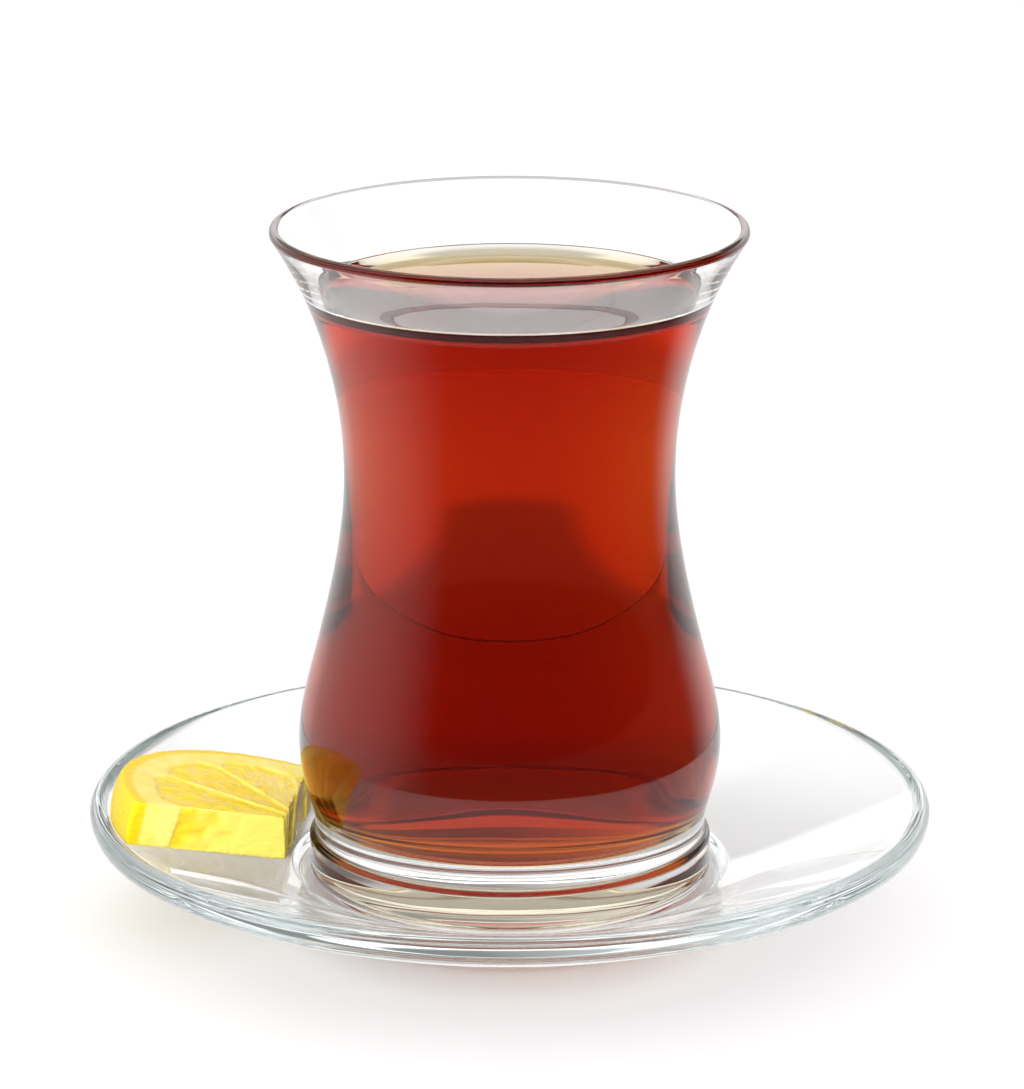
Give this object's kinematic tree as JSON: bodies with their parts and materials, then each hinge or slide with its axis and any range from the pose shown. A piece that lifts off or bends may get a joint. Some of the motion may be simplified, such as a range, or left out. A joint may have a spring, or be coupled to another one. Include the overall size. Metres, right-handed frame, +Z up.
{
  "type": "turkish tea glass with tea, saucer and lemon",
  "caption": "Waisted clear glass of red-brown tea with a thick base, standing on a small clear saucer beside a piece of lemon slice.",
  "frame": {"origin": "the middle of the saucer's foot ring, on the table", "axes": "+Z up along the glass's axis, -Y to the front, the lemon lies at -X"},
  "size_m": [0.11, 0.11, 0.0906],
  "materials": {
    "glass": "clear pressed glass",
    "tea": "clear red-brown tea with a still, shiny surface",
    "saucer": "clear pressed glass with a faint blue-green tint at the rim",
    "lemon": "wet lemon flesh, cream pith and waxy yellow rind"
  },
  "bodies": {
    "root": {"glass": "glass", "tea": "tea", "saucer": "saucer", "lemon_slice": "lemon"}
  },
  "joints": []
}
